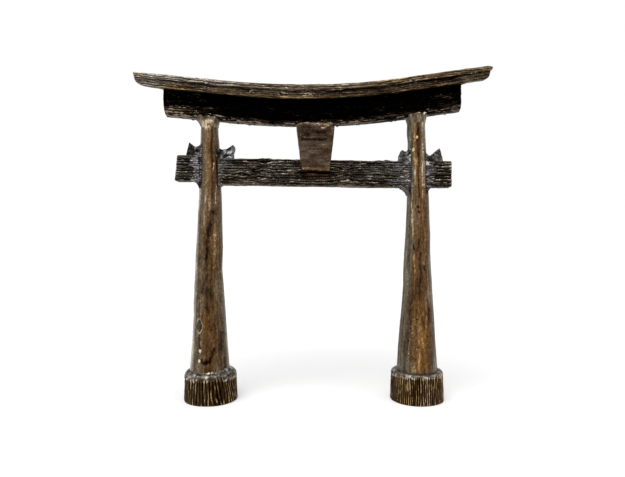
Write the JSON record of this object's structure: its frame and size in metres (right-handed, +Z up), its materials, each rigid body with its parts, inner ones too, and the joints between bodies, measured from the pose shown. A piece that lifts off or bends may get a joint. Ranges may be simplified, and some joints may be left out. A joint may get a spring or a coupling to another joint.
{
  "type": "torii gate ornament",
  "caption": "desk-size bronze torii gate: tapered round posts on drum feet carry a curved lintel and top rail, with a tie beam and a blank tablet",
  "frame": {"origin": "on the ground, midway between the tips of the top rail and midway through the depth", "axes": "+X runs along the rails to the right, -Y is the front where the tablet hangs, +Z is up"},
  "size_m": [0.108, 0.0162, 0.1015],
  "materials": {
    "weathered_bronze": "dark brown patina rubbed to bronze on the ridges",
    "dark_bronze": "near-black patina",
    "rubbed_bronze": "brown patina, satin, rubbed",
    "fused_bronze": "grey-brown, rough and shiny"
  },
  "bodies": {
    "root": {"top_rail_upper_plank": "weathered_bronze", "top_rail_lower_plank": "weathered_bronze", "lintel": "dark_bronze", "left_post": "rubbed_bronze", "right_post": "rubbed_bronze", "left_foot": "weathered_bronze", "right_foot": "weathered_bronze", "left_foot_bead": "fused_bronze", "right_foot_bead": "fused_bronze", "left_neck_bead": "fused_bronze", "right_neck_bead": "fused_bronze", "tie_beam": "weathered_bronze", "tie_beam_left_end": "weathered_bronze", "tie_beam_right_end": "weathered_bronze", "left_outer_wedge": "dark_bronze", "left_inner_wedge": "dark_bronze", "right_inner_wedge": "dark_bronze", "right_outer_wedge": "dark_bronze", "left_outer_bead": "fused_bronze", "left_inner_bead": "fused_bronze", "right_inner_bead": "fused_bronze", "right_outer_bead": "fused_bronze", "tablet": "rubbed_bronze", "tablet_bead": "fused_bronze"}
  },
  "joints": []
}
